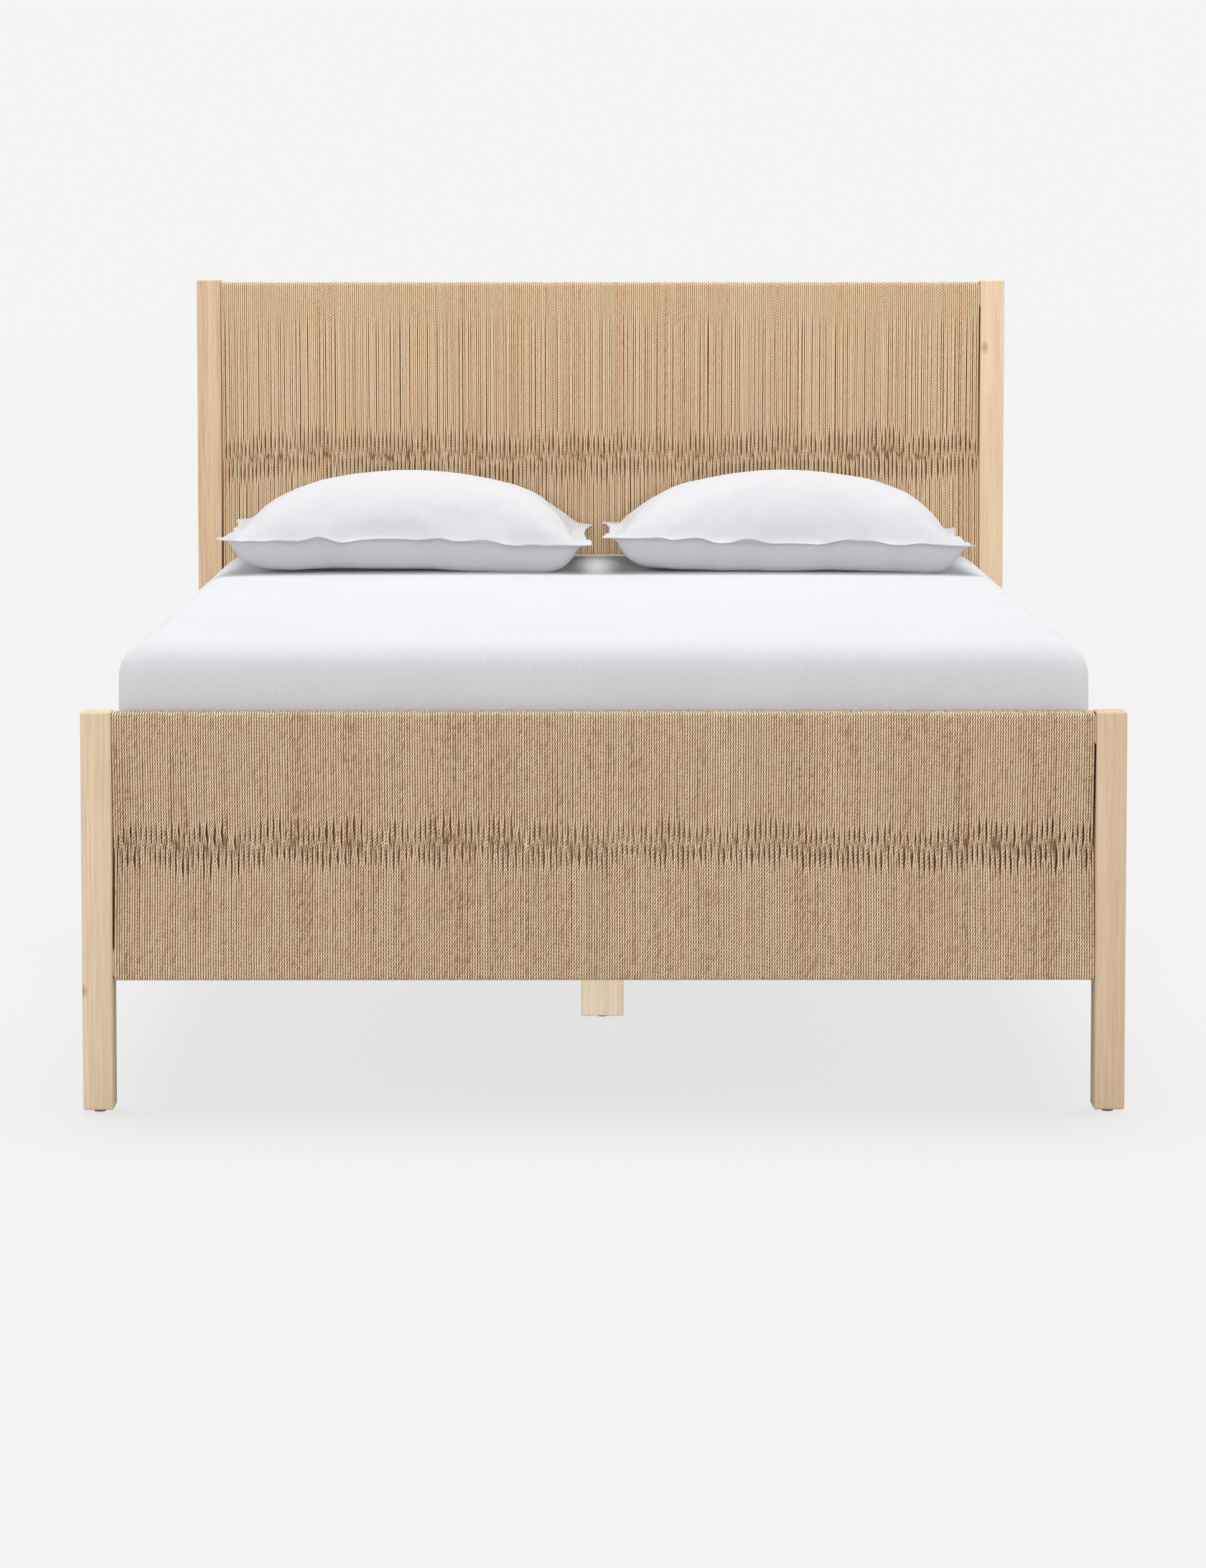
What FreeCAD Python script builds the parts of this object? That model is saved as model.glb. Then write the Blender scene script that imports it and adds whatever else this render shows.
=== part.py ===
import FreeCAD, Part
import math
import os

# Queen platform bed with corded head and foot panels, in millimetres.
# The origin is on the floor under the middle of the bed. The foot is at -Y, the head at +Y, Z is up.

# Mattress and the well that it lies in
mattress_width = 1524.0
mattress_length = 2032.0
mattress_thickness = 300.0
mattress_crown = 2.5
mattress_corner_radius = 70.0
mattress_top_round = 42.0
mattress_bottom_round = 25.0
mattress_side_pad = 34.0
mattress_face_pad = 18.0
mattress_side_gap = 10.0
mattress_end_gap = 10.0
rest_gap = 0.3

# Posts, which run on below the panels as legs
post_width = 48.0
post_depth = 54.0
foot_post_top = 635.0
head_post_top = 1296.0
post_edge_chamfer = 2.0

# Corded panels: the cord goes round a top rail and a bottom rail and crosses itself half way
foot_cord_bottom = 210.0
foot_cord_drop = 1.0
head_cord_bottom = 586.0
head_cord_drop = 4.0
panel_depth = 50.0
cord_pitch = 4.0
cords_per_rib = 5
rib_depth = 1.6
winding_skin = 5.0
waist_ridge = 6.5
waist_valley = 2.0
waist_half_height = 6.0
waist_gather = 30.0
winding_end_gap = 0.5
winding_fit = 0.2

# Rails inside the panels
panel_rail_height = 45.0
panel_rail_chamfer = 4.0
tenon_length = 22.0
tenon_depth = 22.0
tenon_height = 32.0
joinery_fit = 0.2

# Deck: side rails, ledgers, cross rails, slats, centre beam and its legs
deck_height = 445.0
side_rail_thickness = 28.0
side_rail_height = 185.0
side_rail_lip = 20.0
side_rail_step = 4.0
side_rail_chamfer = 2.0
ledger_width = 30.0
ledger_height = 30.0
cross_rail_thickness = 25.0
cross_rail_height = 120.0
slat_thickness = 20.0
slat_width = 80.0
slat_end_gap = 2.0
slat_chamfer = 2.0
slat_count = 14
beam_width = 40.0
beam_height = 80.0
beam_end_gap = 1.0
centre_leg_size = 75.0
centre_leg_spacing = 376.0
leg_plate_size = 62.0
leg_plate_thickness = 3.0

# Hooked plates that join the side rails to the posts
plate_width = 16.0
plate_thickness = 2.5
plate_height = 130.0
plate_fit = 0.2
plate_drop = 20.0
hook_thickness = 5.0
hook_neck_height = 16.0
hook_nose = 8.0
hook_nose_thickness = 5.0
hook_spacing = 70.0
hook_fit = 0.4

# Steel brackets under the deck
bracket_thickness = 2.5
corner_bracket_leg = 40.0
corner_bracket_height = 60.0
corner_bracket_drop = 45.0
beam_bracket_reach = 40.0
beam_bracket_wall = 45.0
beam_bracket_fit = 0.5

# Screw levellers under the legs
pad_diameter = 18.0
pad_thickness = 4.8
pad_gap = 1.2
stud_diameter = 6.0
stud_length = 32.0
stud_fit = 0.08
stud_room = 6.0
insert_diameter = 10.0
insert_length = 14.0
insert_sides = 6
insert_fit = 0.05

# Pillows with a flat flange round a filled middle
pillow_width = 711.0
pillow_depth = 540.0
pillow_flange = 25.0
pillow_flange_thickness = 5.0
pillow_rise = 116.0
pillow_sag = 61.0
pillow_draw = 14.0
pillow_spacing = 730.0
pillow_shift = -8.0
pillow_setback = 436.0
pillow_columns = 10
pillow_rows = 8

# The filling's rise follows a power of the distance from the seam. Its underside is flat past a share
# of the swell, and its hollow is a share of its own size.
pillow_swell_power = 0.62
pillow_flat_share = 0.72
pillow_hollow_share = 0.94

# Rounding of the mattress's edges, as shares of the round's inset and height from its side to its face
mattress_round_shares = ((0.0, 1.0), (0.29, 0.29), (1.0, 0.0))
mattress_crown_share = 0.25

cut_overrun = 5.0

# Worked out from the sizes above
inner_half_width = mattress_width / 2 + mattress_side_gap
inner_half_length = mattress_length / 2 + mattress_end_gap
half_width = inner_half_width + post_width
half_length = inner_half_length + post_depth
panel_place = inner_half_length + post_depth / 2
panel_half_depth = panel_depth / 2
leg_bottom = pad_thickness + pad_gap
slat_bottom = deck_height - slat_thickness
side_rail_top = deck_height + side_rail_lip
side_rail_bottom = side_rail_top - side_rail_height
side_rail_inner = inner_half_width + side_rail_step
side_rail_middle = side_rail_inner + side_rail_thickness / 2
cross_rail_face = inner_half_length - cross_rail_thickness
beam_bottom = slat_bottom - beam_height
mattress_bottom = deck_height + rest_gap
mattress_top = mattress_bottom + mattress_thickness
tunnel_half_depth = panel_half_depth - winding_skin
rail_reach = winding_skin + winding_fit + panel_rail_height
plate_top = side_rail_top - plate_drop
leg_bore_depth = stud_length + stud_room
centre_leg_middle = centre_leg_spacing / 2
centre_leg_top = beam_bottom - leg_plate_thickness

FOOT, HEAD = -1, 1
LEFT, RIGHT = -1, 1
side_names = {LEFT: "left", RIGHT: "right"}
end_names = {FOOT: "foot", HEAD: "head"}
post_tops = {FOOT: foot_post_top, HEAD: head_post_top}
cord_bottoms = {FOOT: foot_cord_bottom, HEAD: head_cord_bottom}
cord_tops = {FOOT: foot_post_top - foot_cord_drop, HEAD: head_post_top - head_cord_drop}


def vector(x, y, z):
    return FreeCAD.Vector(x, y, z)


def block(xs, ys, zs):
    """Box between pairs of limits, each pair in any order."""
    corner = vector(min(xs), min(ys), min(zs))
    return Part.makeBox(abs(xs[1] - xs[0]), abs(ys[1] - ys[0]), abs(zs[1] - zs[0]), corner)


def rod(x, y, low, high, radius):
    """Upright cylinder from one height to another."""
    return Part.makeCylinder(radius, high - low, vector(x, y, low), vector(0, 0, 1))


def prism(points, direction):
    """Closed outline swept along a vector."""
    wire = Part.makePolygon(list(points) + [points[0]])
    return Part.Face(wire).extrude(direction)


def save(name, *solids):
    shape = solids[0] if len(solids) == 1 else Part.makeCompound(list(solids))
    shape.exportStep("parts/" + name + ".step")


def edges_along(shape, axis):
    """Straight edges that run along one axis of the shape's box."""
    found = []
    for edge in shape.Edges:
        line = edge.Vertexes[-1].Point - edge.Vertexes[0].Point
        if line.Length > 0 and abs(abs(line.dot(axis)) - line.Length) < line.Length / 1e6:
            found.append(edge)
    return found


def rail_heights(end):
    """Lower and upper limits of the two rails inside a panel, bottom rail first."""
    low = cord_bottoms[end] + winding_skin + winding_fit
    high = cord_tops[end] - winding_skin - winding_fit
    return ((low, low + panel_rail_height), (high - panel_rail_height, high))


def tenon_block(end, heights, ends, fit):
    """Tenon of a panel rail, or with a fit the mortise for it, over a stretch along X."""
    middle = sum(heights) / 2
    ys = (end * panel_place - tenon_depth / 2 - fit, end * panel_place + tenon_depth / 2 + fit)
    return block(ends, ys, (middle - tenon_height / 2 - fit, middle + tenon_height / 2 + fit))


def hook_heights():
    """Lower faces of the two hook necks on each rail plate."""
    middle = plate_top - plate_height / 2
    return (middle - hook_spacing / 2, middle + hook_spacing / 2)


def plate_limits(side, fit):
    middle = side * side_rail_middle
    return (middle - plate_width / 2 - fit, middle + plate_width / 2 + fit)


def hook_limits(side, fit):
    middle = side * side_rail_middle
    return (middle - hook_thickness / 2 - fit, middle + hook_thickness / 2 + fit)


def leveller_room(x, y):
    """Blind hole in a leg's end for the threaded insert and the stud above it."""
    return rod(x, y, leg_bottom - cut_overrun, leg_bottom + leg_bore_depth, insert_diameter / 2 + insert_fit)


def post(side, end):
    """Post with mortises for the panel rails, a let-in plate for the side rail and a leveller hole."""
    xs = (side * inner_half_width, side * half_width)
    ys = (end * inner_half_length, end * half_length)
    body = block(xs, ys, (leg_bottom, post_tops[end]))
    body = body.makeChamfer(post_edge_chamfer, body.Edges)
    reach = side * (inner_half_width + tenon_length + joinery_fit)
    start = side * (inner_half_width - cut_overrun)
    for heights in rail_heights(end):
        body = body.cut(tenon_block(end, heights, (start, reach), joinery_fit))
    inside = end * inner_half_length
    outside = end * (inner_half_length - cut_overrun)
    plate_back = inside + end * plate_thickness
    seat = (plate_top - plate_height - plate_fit, plate_top + plate_fit)
    body = body.cut(block(plate_limits(side, plate_fit), (outside, plate_back), seat))
    pocket_back = plate_back + end * (hook_nose_thickness + 2 * hook_fit)
    for low in hook_heights():
        zs = (low - hook_nose - hook_fit, low + hook_neck_height + hook_nose + 2 * hook_fit)
        body = body.cut(block(hook_limits(side, hook_fit), (outside, pocket_back), zs))
    place = (side * (inner_half_width + post_width / 2), end * panel_place)
    return body.cut(leveller_room(*place))


def slot_plate(side, end):
    """Plate let into a post, with a slot for each hook of the side rail."""
    inside = end * inner_half_length
    back = inside + end * plate_thickness
    plate = block(plate_limits(side, 0), (inside, back), (plate_top - plate_height, plate_top))
    through = (inside - end * cut_overrun, back + end * cut_overrun)
    for low in hook_heights():
        zs = (low, low + hook_neck_height + hook_nose + 2 * hook_fit)
        plate = plate.cut(block(hook_limits(side, hook_fit), through, zs))
    return plate


def hook_plate(side, end):
    """Plate let into a side rail's end, with hooks that drop into the post's slots."""
    inside = end * inner_half_length
    face = inside - end * plate_thickness
    plate = block(plate_limits(side, 0), (face, inside), (plate_top - plate_height, plate_top))
    nose_front = inside + end * (plate_thickness + hook_fit)
    tip = nose_front + end * hook_nose_thickness
    for low in hook_heights():
        high = low + hook_neck_height
        plate = plate.fuse(block(hook_limits(side, 0), (inside, tip), (low, high)))
        plate = plate.fuse(block(hook_limits(side, 0), (nose_front, tip), (low - hook_nose, high)))
    return plate.removeSplitter()


def panel_rail(end, heights):
    """Rail that the cord goes round, eased along its edges, with a tenon at each end."""
    depth = tunnel_half_depth - winding_fit
    centre = end * panel_place
    body = block((-inner_half_width, inner_half_width), (centre - depth, centre + depth), heights)
    body = body.makeChamfer(panel_rail_chamfer, edges_along(body, vector(1, 0, 0)))
    reach = inner_half_width + tenon_length
    return body.fuse(tenon_block(end, heights, (-reach, reach), 0))


def winding_section(end):
    """Stations down the front of a panel's section: ridge and valley points, and the ribs' phase."""
    bottom, top = cord_bottoms[end], cord_tops[end]
    middle = (bottom + top) / 2
    deep, shallow = panel_half_depth, panel_half_depth - rib_depth
    upper_waist, lower_waist = middle + waist_half_height, middle - waist_half_height
    return (
        ((deep, top), (shallow, top - rib_depth), 0),
        ((deep, top - rail_reach), (shallow, top - rail_reach), 0),
        ((waist_ridge, upper_waist), (waist_valley, upper_waist), 0),
        ((waist_ridge, lower_waist), (waist_valley, lower_waist), 1),
        ((deep, bottom + rail_reach), (shallow, bottom + rail_reach), 1),
        ((deep, bottom), (shallow, bottom + rib_depth), 1),
    )


def tunnel_outlines(end):
    """Sections of the two hollows of a winding: each holds a rail and closes towards the waist."""
    bottom, top = cord_bottoms[end], cord_tops[end]
    middle = (bottom + top) / 2
    outlines = []
    for edge, sign in ((top, 1), (bottom, -1)):
        crest = edge - sign * winding_skin
        rail_edge = edge - sign * rail_reach
        apex = middle + sign * (waist_half_height + waist_gather)
        half = tunnel_half_depth
        outlines.append(((-half, crest), (half, crest), (half, rail_edge), (0, apex), (-half, rail_edge)))
    return outlines


def patch(corners):
    """Flat face on four corners, or two triangles where the corners aren't in one plane."""
    first, second, third, fourth = corners
    normal = (second - first).cross(third - first)
    if abs(normal.dot(fourth - first)) < normal.Length * rest_gap / 1e6:
        return [Part.Face(Part.makePolygon([first, second, third, fourth, first]))]
    halves = ((first, second, third, first), (first, third, fourth, first))
    return [Part.Face(Part.makePolygon(half)) for half in halves]


def closed_solid(faces):
    """Solid inside faces that meet edge to edge."""
    shell = Part.makeShell(faces)
    shell.sewShape()
    solid = Part.Solid(shell)
    if solid.Volume < 0:
        solid.reverse()
    return solid


def winding(end):
    """Figure-of-eight winding: ribs of cords over two hollow loops, gathered where they cross."""
    half = inner_half_width - winding_end_gap
    ribs = max(1, round(2 * half / (cord_pitch * cords_per_rib)))
    step = half / ribs
    columns = [step * number - half for number in range(2 * ribs + 1)]
    centre = end * panel_place
    front = [(ridge, valley, phase, -1) for ridge, valley, phase in winding_section(end)]
    back = [(ridge, valley, phase, 1) for ridge, valley, phase in reversed(winding_section(end))]
    stations = front + back

    def point(station, column):
        ridge, valley, phase, side = station
        depth, height = ridge if (column + phase) % 2 else valley
        return vector(columns[column], centre + side * depth, height)

    faces = []
    for station, following in zip(stations, stations[1:] + stations[:1]):
        for column in range(2 * ribs):
            corners = (point(station, column), point(station, column + 1))
            corners += (point(following, column + 1), point(following, column))
            faces += patch(corners)
    hollows = tunnel_outlines(end)
    for outline in hollows:
        for (y0, z0), (y1, z1) in zip(outline, outline[1:] + outline[:1]):
            corners = (vector(-half, centre + y0, z0), vector(half, centre + y0, z0))
            corners += (vector(half, centre + y1, z1), vector(-half, centre + y1, z1))
            faces += patch(corners)
    for column in (0, 2 * ribs):
        rim = [point(station, column) for station in stations]
        wires = [Part.makePolygon(rim + rim[:1])]
        for outline in hollows:
            ring = [vector(columns[column], centre + y, z) for y, z in outline]
            wires.append(Part.makePolygon(ring + ring[:1]))
        faces.append(Part.makeFace(wires, "Part::FaceMakerBullseye"))
    return closed_solid(faces)


def side_rail(side):
    """Rail between the head and foot posts, with its ends cut for the hook plates."""
    xs = (side * side_rail_inner, side * (side_rail_inner + side_rail_thickness))
    body = block(xs, (-inner_half_length, inner_half_length), (side_rail_bottom, side_rail_top))
    body = body.makeChamfer(side_rail_chamfer, edges_along(body, vector(0, 1, 0)))
    for end in (FOOT, HEAD):
        ys = (end * (inner_half_length - plate_thickness), end * (inner_half_length + cut_overrun))
        zs = (plate_top - plate_height - plate_fit, plate_top + plate_fit)
        body = body.cut(block(plate_limits(side, plate_fit), ys, zs))
    return body


def ledger(side):
    xs = (side * (side_rail_inner - ledger_width), side * side_rail_inner)
    return block(xs, (-cross_rail_face, cross_rail_face), (slat_bottom - ledger_height, slat_bottom))


def cross_rail(end):
    ys = (end * cross_rail_face, end * inner_half_length)
    return block((-side_rail_inner, side_rail_inner), ys, (slat_bottom - cross_rail_height, slat_bottom))


def slat(number):
    """One slat of an even row between the cross rails, eased along its edges."""
    pitch = 2 * cross_rail_face / slat_count
    middle = (number + 1 / 2) * pitch - cross_rail_face
    reach = side_rail_inner - slat_end_gap
    ys = (middle - slat_width / 2, middle + slat_width / 2)
    body = block((-reach, reach), ys, (slat_bottom, deck_height))
    upper = [edge for edge in edges_along(body, vector(1, 0, 0)) if edge.BoundBox.ZMin > slat_bottom]
    return body.makeChamfer(slat_chamfer, upper)


def corner_bracket(side, end):
    """Steel angle that ties a cross rail to a side rail."""
    x, y = side * side_rail_inner, end * cross_rail_face
    inner_x, inner_y = x - side * bracket_thickness, y - end * bracket_thickness
    far_x, far_y = x - side * corner_bracket_leg, y - end * corner_bracket_leg
    outline = ((x, y), (far_x, y), (far_x, inner_y), (inner_x, inner_y), (inner_x, far_y), (x, far_y))
    high = slat_bottom - corner_bracket_drop
    points = [vector(px, py, high) for px, py in outline]
    return prism(points, vector(0, 0, -corner_bracket_height))


def beam_bracket(end):
    """Steel cradle on a cross rail that the end of the centre beam lies in."""
    inner = beam_width / 2 + beam_bracket_fit
    outer = inner + bracket_thickness
    face = end * cross_rail_face
    back = face - end * bracket_thickness
    tip = face - end * beam_bracket_reach
    zs = (beam_bottom - bracket_thickness, beam_bottom + beam_bracket_wall)
    body = block((-outer, outer), (face, tip), zs)
    room = block((-inner, inner), (back, tip - end * cut_overrun), (beam_bottom, zs[1] + cut_overrun))
    return body.cut(room)


def centre_beam():
    reach = cross_rail_face - bracket_thickness - beam_end_gap
    return block((-beam_width / 2, beam_width / 2), (-reach, reach), (beam_bottom, slat_bottom))


def centre_leg(end):
    """Square leg under the centre beam, bored for its leveller."""
    half = centre_leg_size / 2
    place = end * centre_leg_middle
    body = block((-half, half), (place - half, place + half), (leg_bottom, centre_leg_top))
    body = body.makeChamfer(post_edge_chamfer, body.Edges)
    return body.cut(leveller_room(0, place))


def leg_plate(end):
    """Steel plate on a centre leg that is screwed to the underside of the beam."""
    half = leg_plate_size / 2
    place = end * centre_leg_middle
    return block((-half, half), (place - half, place + half), (centre_leg_top, beam_bottom))


def insert(x, y):
    """Threaded insert in the end of a leg, shown as a plain bush with flats."""
    high = leg_bottom + insert_length
    turns = [2 * math.pi * number / insert_sides for number in range(insert_sides)]
    radius = insert_diameter / 2
    points = [vector(x + radius * math.cos(a), y + radius * math.sin(a), leg_bottom) for a in turns]
    bore = rod(x, y, leg_bottom - cut_overrun, high + cut_overrun, stud_diameter / 2 + stud_fit)
    return prism(points, vector(0, 0, insert_length)).cut(bore)


def leveller(x, y):
    """Round pad and its screw stud."""
    pad = rod(x, y, 0, pad_thickness, pad_diameter / 2)
    return pad.fuse(rod(x, y, pad_thickness, leg_bottom + stud_length, stud_diameter / 2))


def rounded_outline(half_x, half_y, radius, height):
    """Level rectangle with round corners, as one wire of lines and arcs."""
    cut = radius * (1 - math.sqrt(2) / 2)
    edges = []
    last = vector(half_x - radius, -half_y, height)
    for sx, sy in ((1, -1), (1, 1), (-1, 1), (-1, -1)):
        along = vector(sx * (half_x - radius), sy * half_y, height)
        across = vector(sx * half_x, sy * (half_y - radius), height)
        start, stop = (along, across) if sx != sy else (across, along)
        if edges:
            edges.append(Part.LineSegment(last, start).toShape())
        middle = vector(sx * (half_x - cut), sy * (half_y - cut), height)
        edges.append(Part.Arc(start, middle, stop).toShape())
        last = stop
    edges.append(Part.LineSegment(last, edges[0].Vertexes[0].Point).toShape())
    return Part.Wire(edges)


def mattress():
    """Crowned block with round corners and edges, hollow inside its padding."""
    half, length = mattress_width / 2, mattress_length / 2
    shoulder = mattress_top - mattress_crown
    levels = []
    for inset, drop in reversed(mattress_round_shares):
        levels.append((inset * mattress_bottom_round, mattress_bottom + drop * mattress_bottom_round))
    for inset, drop in mattress_round_shares:
        levels.append((inset * mattress_top_round, shoulder - drop * mattress_top_round))
    levels.append((mattress_crown_share * mattress_width, mattress_top))
    sections = []
    for inset, height in levels:
        radius = max(mattress_corner_radius - inset, rest_gap)
        sections.append(rounded_outline(half - inset, length - inset, radius, height))
    body = Part.makeLoft(sections, True, True)
    xs = (mattress_side_pad - half, half - mattress_side_pad)
    ys = (mattress_side_pad - length, length - mattress_side_pad)
    return body.cut(block(xs, ys, (mattress_bottom + mattress_face_pad, shoulder - mattress_face_pad)))


def pillow_point(column, row, upper, out):
    """Point of a pillow's grid, which goes from seam to seam, moved out by part of the flange."""
    u, v = 2 * column / pillow_columns - 1, 2 * row / pillow_rows - 1
    swell = ((1 - u * u) * (1 - v * v)) ** pillow_swell_power
    x = u * (pillow_width / 2 - pillow_flange + out - pillow_draw * (1 - v * v))
    y = v * (pillow_depth / 2 - pillow_flange + out - pillow_draw * (1 - u * u))
    above = pillow_flange_thickness / 2 + pillow_rise * swell
    below = pillow_flange_thickness / 2 + pillow_sag * min(1, swell / pillow_flat_share)
    return vector(x, y, above if upper else -below)


def pillow_rim():
    """Grid places round the seam, in order."""
    rim = [(column, 0) for column in range(pillow_columns)]
    rim += [(pillow_columns, row) for row in range(pillow_rows)]
    rim += [(pillow_columns - column, pillow_rows) for column in range(pillow_columns)]
    return rim + [(0, pillow_rows - row) for row in range(pillow_rows)]


def pillow_body(flange):
    """Filled middle of a pillow with its flange, if any: crowned above, flat where it lies below."""
    faces = []
    for upper in (True, False):
        for column in range(pillow_columns):
            for row in range(pillow_rows):
                cell = ((column, row), (column + 1, row), (column + 1, row + 1), (column, row + 1))
                faces += patch([pillow_point(*place, upper, 0) for place in cell])
    rim = pillow_rim()
    for start, stop in zip(rim, rim[1:] + rim[:1]):
        outer = [pillow_point(*place, True, flange) for place in (start, stop)]
        outer += [pillow_point(*place, False, flange) for place in (stop, start)]
        faces += patch(outer)
        for upper in (True, False) if flange else ():
            seam = [pillow_point(*place, upper, 0) for place in (start, stop)]
            faces += patch(seam + [pillow_point(*place, upper, flange) for place in (stop, start)])
    return closed_solid(faces)


def pillow(side):
    """Flanged pillow, hollow because its filling weighs so little."""
    room = pillow_body(0)
    room.scale(pillow_hollow_share, vector(0, 0, 0))
    body = pillow_body(pillow_flange).cut(room)
    x = side * pillow_spacing / 2 + pillow_shift
    seat = pillow_flange_thickness / 2 + pillow_sag
    body.translate(vector(x, half_length - pillow_setback, mattress_top + rest_gap + seat))
    return body


def main():
    os.makedirs("parts", exist_ok=True)
    leg_places = {}
    for end in (FOOT, HEAD):
        for side in (LEFT, RIGHT):
            name = end_names[end] + "_" + side_names[side]
            leg_places[name] = (side * (inner_half_width + post_width / 2), end * panel_place)
            save(end_names[end] + "_post_" + side_names[side], post(side, end))
        leg_places["centre_" + end_names[end]] = (0, end * centre_leg_middle)
        low_rail, high_rail = rail_heights(end)
        save(end_names[end] + "_panel_bottom_rail", panel_rail(end, low_rail))
        save(end_names[end] + "_panel_top_rail", panel_rail(end, high_rail))
        save(end_names[end] + "_cord_winding", winding(end))
        save(end_names[end] + "_cross_rail", cross_rail(end))
        save("centre_leg_" + end_names[end], centre_leg(end))
    for side in (LEFT, RIGHT):
        save("side_rail_" + side_names[side], side_rail(side))
        save("ledger_" + side_names[side], ledger(side))
        save("pillow_" + side_names[side], pillow(side))
    corners = [(side, end) for end in (FOOT, HEAD) for side in (LEFT, RIGHT)]
    save("post_slot_plates", *[slot_plate(*corner) for corner in corners])
    save("rail_hook_plates", *[hook_plate(*corner) for corner in corners])
    save("corner_brackets", *[corner_bracket(*corner) for corner in corners])
    save("beam_brackets", *[beam_bracket(end) for end in (FOOT, HEAD)])
    save("centre_leg_plates", *[leg_plate(end) for end in (FOOT, HEAD)])
    save("centre_beam", centre_beam())
    for number in range(slat_count):
        save("slat_%02d" % (number + 1), slat(number))
    for name, place in leg_places.items():
        save("leveller_" + name, leveller(*place))
    save("leveller_inserts", *[insert(*place) for place in leg_places.values()])
    save("mattress", mattress())


main()
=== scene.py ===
import math

import bpy
import numpy as np
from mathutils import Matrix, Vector


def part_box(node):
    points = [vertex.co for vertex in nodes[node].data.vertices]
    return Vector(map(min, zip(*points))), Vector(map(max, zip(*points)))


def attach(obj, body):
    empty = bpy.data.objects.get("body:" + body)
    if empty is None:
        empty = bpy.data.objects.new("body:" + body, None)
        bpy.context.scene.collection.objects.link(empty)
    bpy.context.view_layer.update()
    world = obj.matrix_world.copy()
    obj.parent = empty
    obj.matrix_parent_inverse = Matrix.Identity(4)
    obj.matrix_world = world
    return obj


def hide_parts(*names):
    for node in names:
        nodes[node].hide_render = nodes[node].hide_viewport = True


# Queen platform bed with corded head and foot panels, dressed for rendering. Lengths are in metres.
# The foot is at -Y, the head at +Y, and the floor at Z = 0.

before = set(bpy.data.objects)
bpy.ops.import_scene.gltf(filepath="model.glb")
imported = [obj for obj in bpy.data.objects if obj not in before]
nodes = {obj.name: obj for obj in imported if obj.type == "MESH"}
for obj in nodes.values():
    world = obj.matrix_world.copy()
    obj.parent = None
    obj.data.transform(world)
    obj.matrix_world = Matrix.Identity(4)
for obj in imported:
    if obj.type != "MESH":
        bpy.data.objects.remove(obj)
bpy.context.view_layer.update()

FRONT, BACK = -1, 1
X_AXIS, Y_AXIS, Z_AXIS = range(3)

# Sizes repeated from the CAD source
PANEL_PLACE = 1.053
PANEL_HALF_WIDTH = 0.7715
FOOT_CORD = (0.210, 0.634)
HEAD_CORD = (0.586, 1.292)
RAIL_REACH = 0.050
REST_GAP = 0.0003

# Cord. Thickness, standing proud and rising over the top rail differ a little from turn to turn.
CORD_PITCH = 0.004
CORD_RADIUS = 0.00212
CORD_RADIUS_SPREAD = 0.02
CORD_SIDES = 7
CORD_DEPTH = 0.0225
CORD_CORNER = 0.006
CORD_STEP = 0.018
CORD_PROUD = 0.00018
CORD_PROUD_LIMIT = 0.0005
CORD_RISE = 0.0004
CORD_RISE_LIMITS = (-0.0008, 0.0004)
CORD_RISE_REACH = 0.02
TWIST_STEP = 0.006
TWIST_PLIES = 4
CORDS_PER_MAP = 100
PIECES_PER_PANEL = 4

# Strands: how far they stray to the side between the rails and the waist, at each end of the bed
FOOT_UNEVEN = 0.00011
HEAD_UNEVEN = 0.00042
STRAY_LIMIT = 1.6
STRAY_WANDER = 0.5
STRAY_REACH = 6
LOOSE_RUN = 0.2

# Waist, where the strands gather in bunches and cross. CROSSING is the reach of the crossing before
# and after it, and FAR_SHARE how much of the bunches' gaps is left after it.
WAIST_NEAR = 0.064
WAIST_CLOSE = 0.024
WAIST_DEPTH = 0.0048
WAIST_PASS = 0.008
WAIST_DRIFT = 0.004
WAIST_DRIFT_REACH = 5
WAIST_STRAY = 0.0065
FOOT_GATHER = (0.026, 0.052)
HEAD_GATHER = (0.040, 0.072)
GATHER_RUN = 0.6
GATHER_SHARE = (0.34, 0.58)
FAR_SHARE = 0.1
CROSSING = (0.017, 0.006)
CROSSING_CORE = 0.003
CORD_CLOSEST = 0.0034
BUNCH_SIZES = (2, 2, 2, 3)
BUNCH_STAGGER = 0.0013

# Tone of the cord: bands of turns, single turns, single strands and along a strand
TONE_BANDS = 0.09
TONE_BAND_REACH = 4
TONE_TURNS = 0.09
TONE_STRANDS = 0.07
TONE_ALONG = 0.06
TONE_ALONG_REACH = 2

# Mattress
MATTRESS_STEP = 0.022
MATTRESS_ROUND = 0.054
MATTRESS_ROUND_MEAN = 0.64
MATTRESS_ROUND_RISE = 0.36
MATTRESS_PRESSURE = 4.0
MATTRESS_FRAMES = 20
MATTRESS_BULGE = 0.0085
MATTRESS_TUCK = 0.06
MATTRESS_FLAT = 0.95
MATTRESS_LEVEL = 0.7
MATTRESS_SWELL = 0.006

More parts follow.
